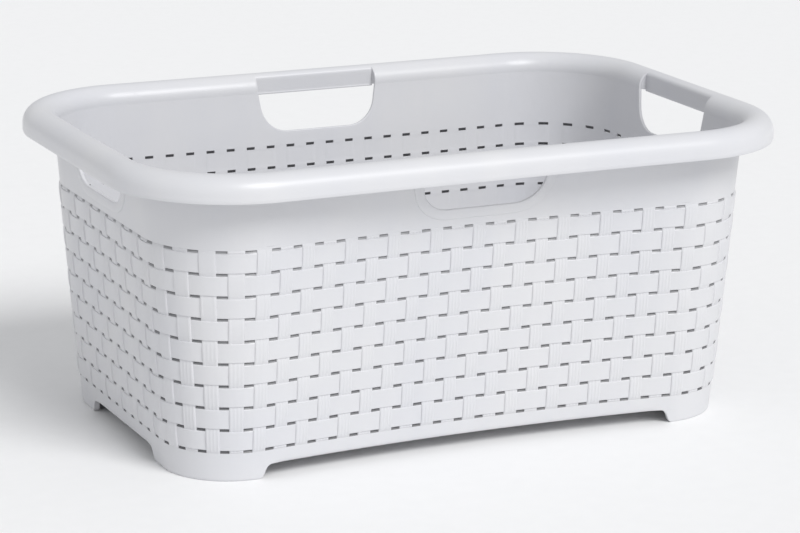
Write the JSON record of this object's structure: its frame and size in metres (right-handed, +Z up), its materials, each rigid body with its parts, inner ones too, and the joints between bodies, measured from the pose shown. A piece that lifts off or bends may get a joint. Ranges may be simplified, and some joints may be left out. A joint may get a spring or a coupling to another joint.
{
  "type": "laundry basket",
  "caption": "Open moulded laundry basket with slotted basket-weave walls, a rolled rim, a hand grip in each side and raised corner feet.",
  "frame": {"origin": "middle of the footprint, on the ground under the feet", "axes": "+Z up, +X along the long sides, -Y out of the front"},
  "size_m": [0.6, 0.408, 0.264],
  "materials": {
    "weave": "satin",
    "collar": "satin",
    "rim": "satin",
    "base": "satin"
  },
  "bodies": {
    "root": {"floor_panel": "base", "foot_front_left": "base", "foot_front_right": "base", "foot_back_left": "base", "foot_back_right": "base", "weave_front": "weave", "weave_back": "weave", "weave_left": "weave", "weave_right": "weave", "weave_corner_front_left": "weave", "weave_corner_front_right": "weave", "weave_corner_back_left": "weave", "weave_corner_back_right": "weave", "collar_front_left": "collar", "collar_front_right": "collar", "collar_back_left": "collar", "collar_back_right": "collar", "opening_panel_front": "collar", "opening_panel_back": "collar", "opening_panel_left": "collar", "opening_panel_right": "collar", "rim_front_left": "rim", "rim_front_right": "rim", "rim_back_left": "rim", "rim_back_right": "rim", "grip_front": "rim", "grip_back": "rim", "grip_left": "rim", "grip_right": "rim"}
  },
  "joints": []
}
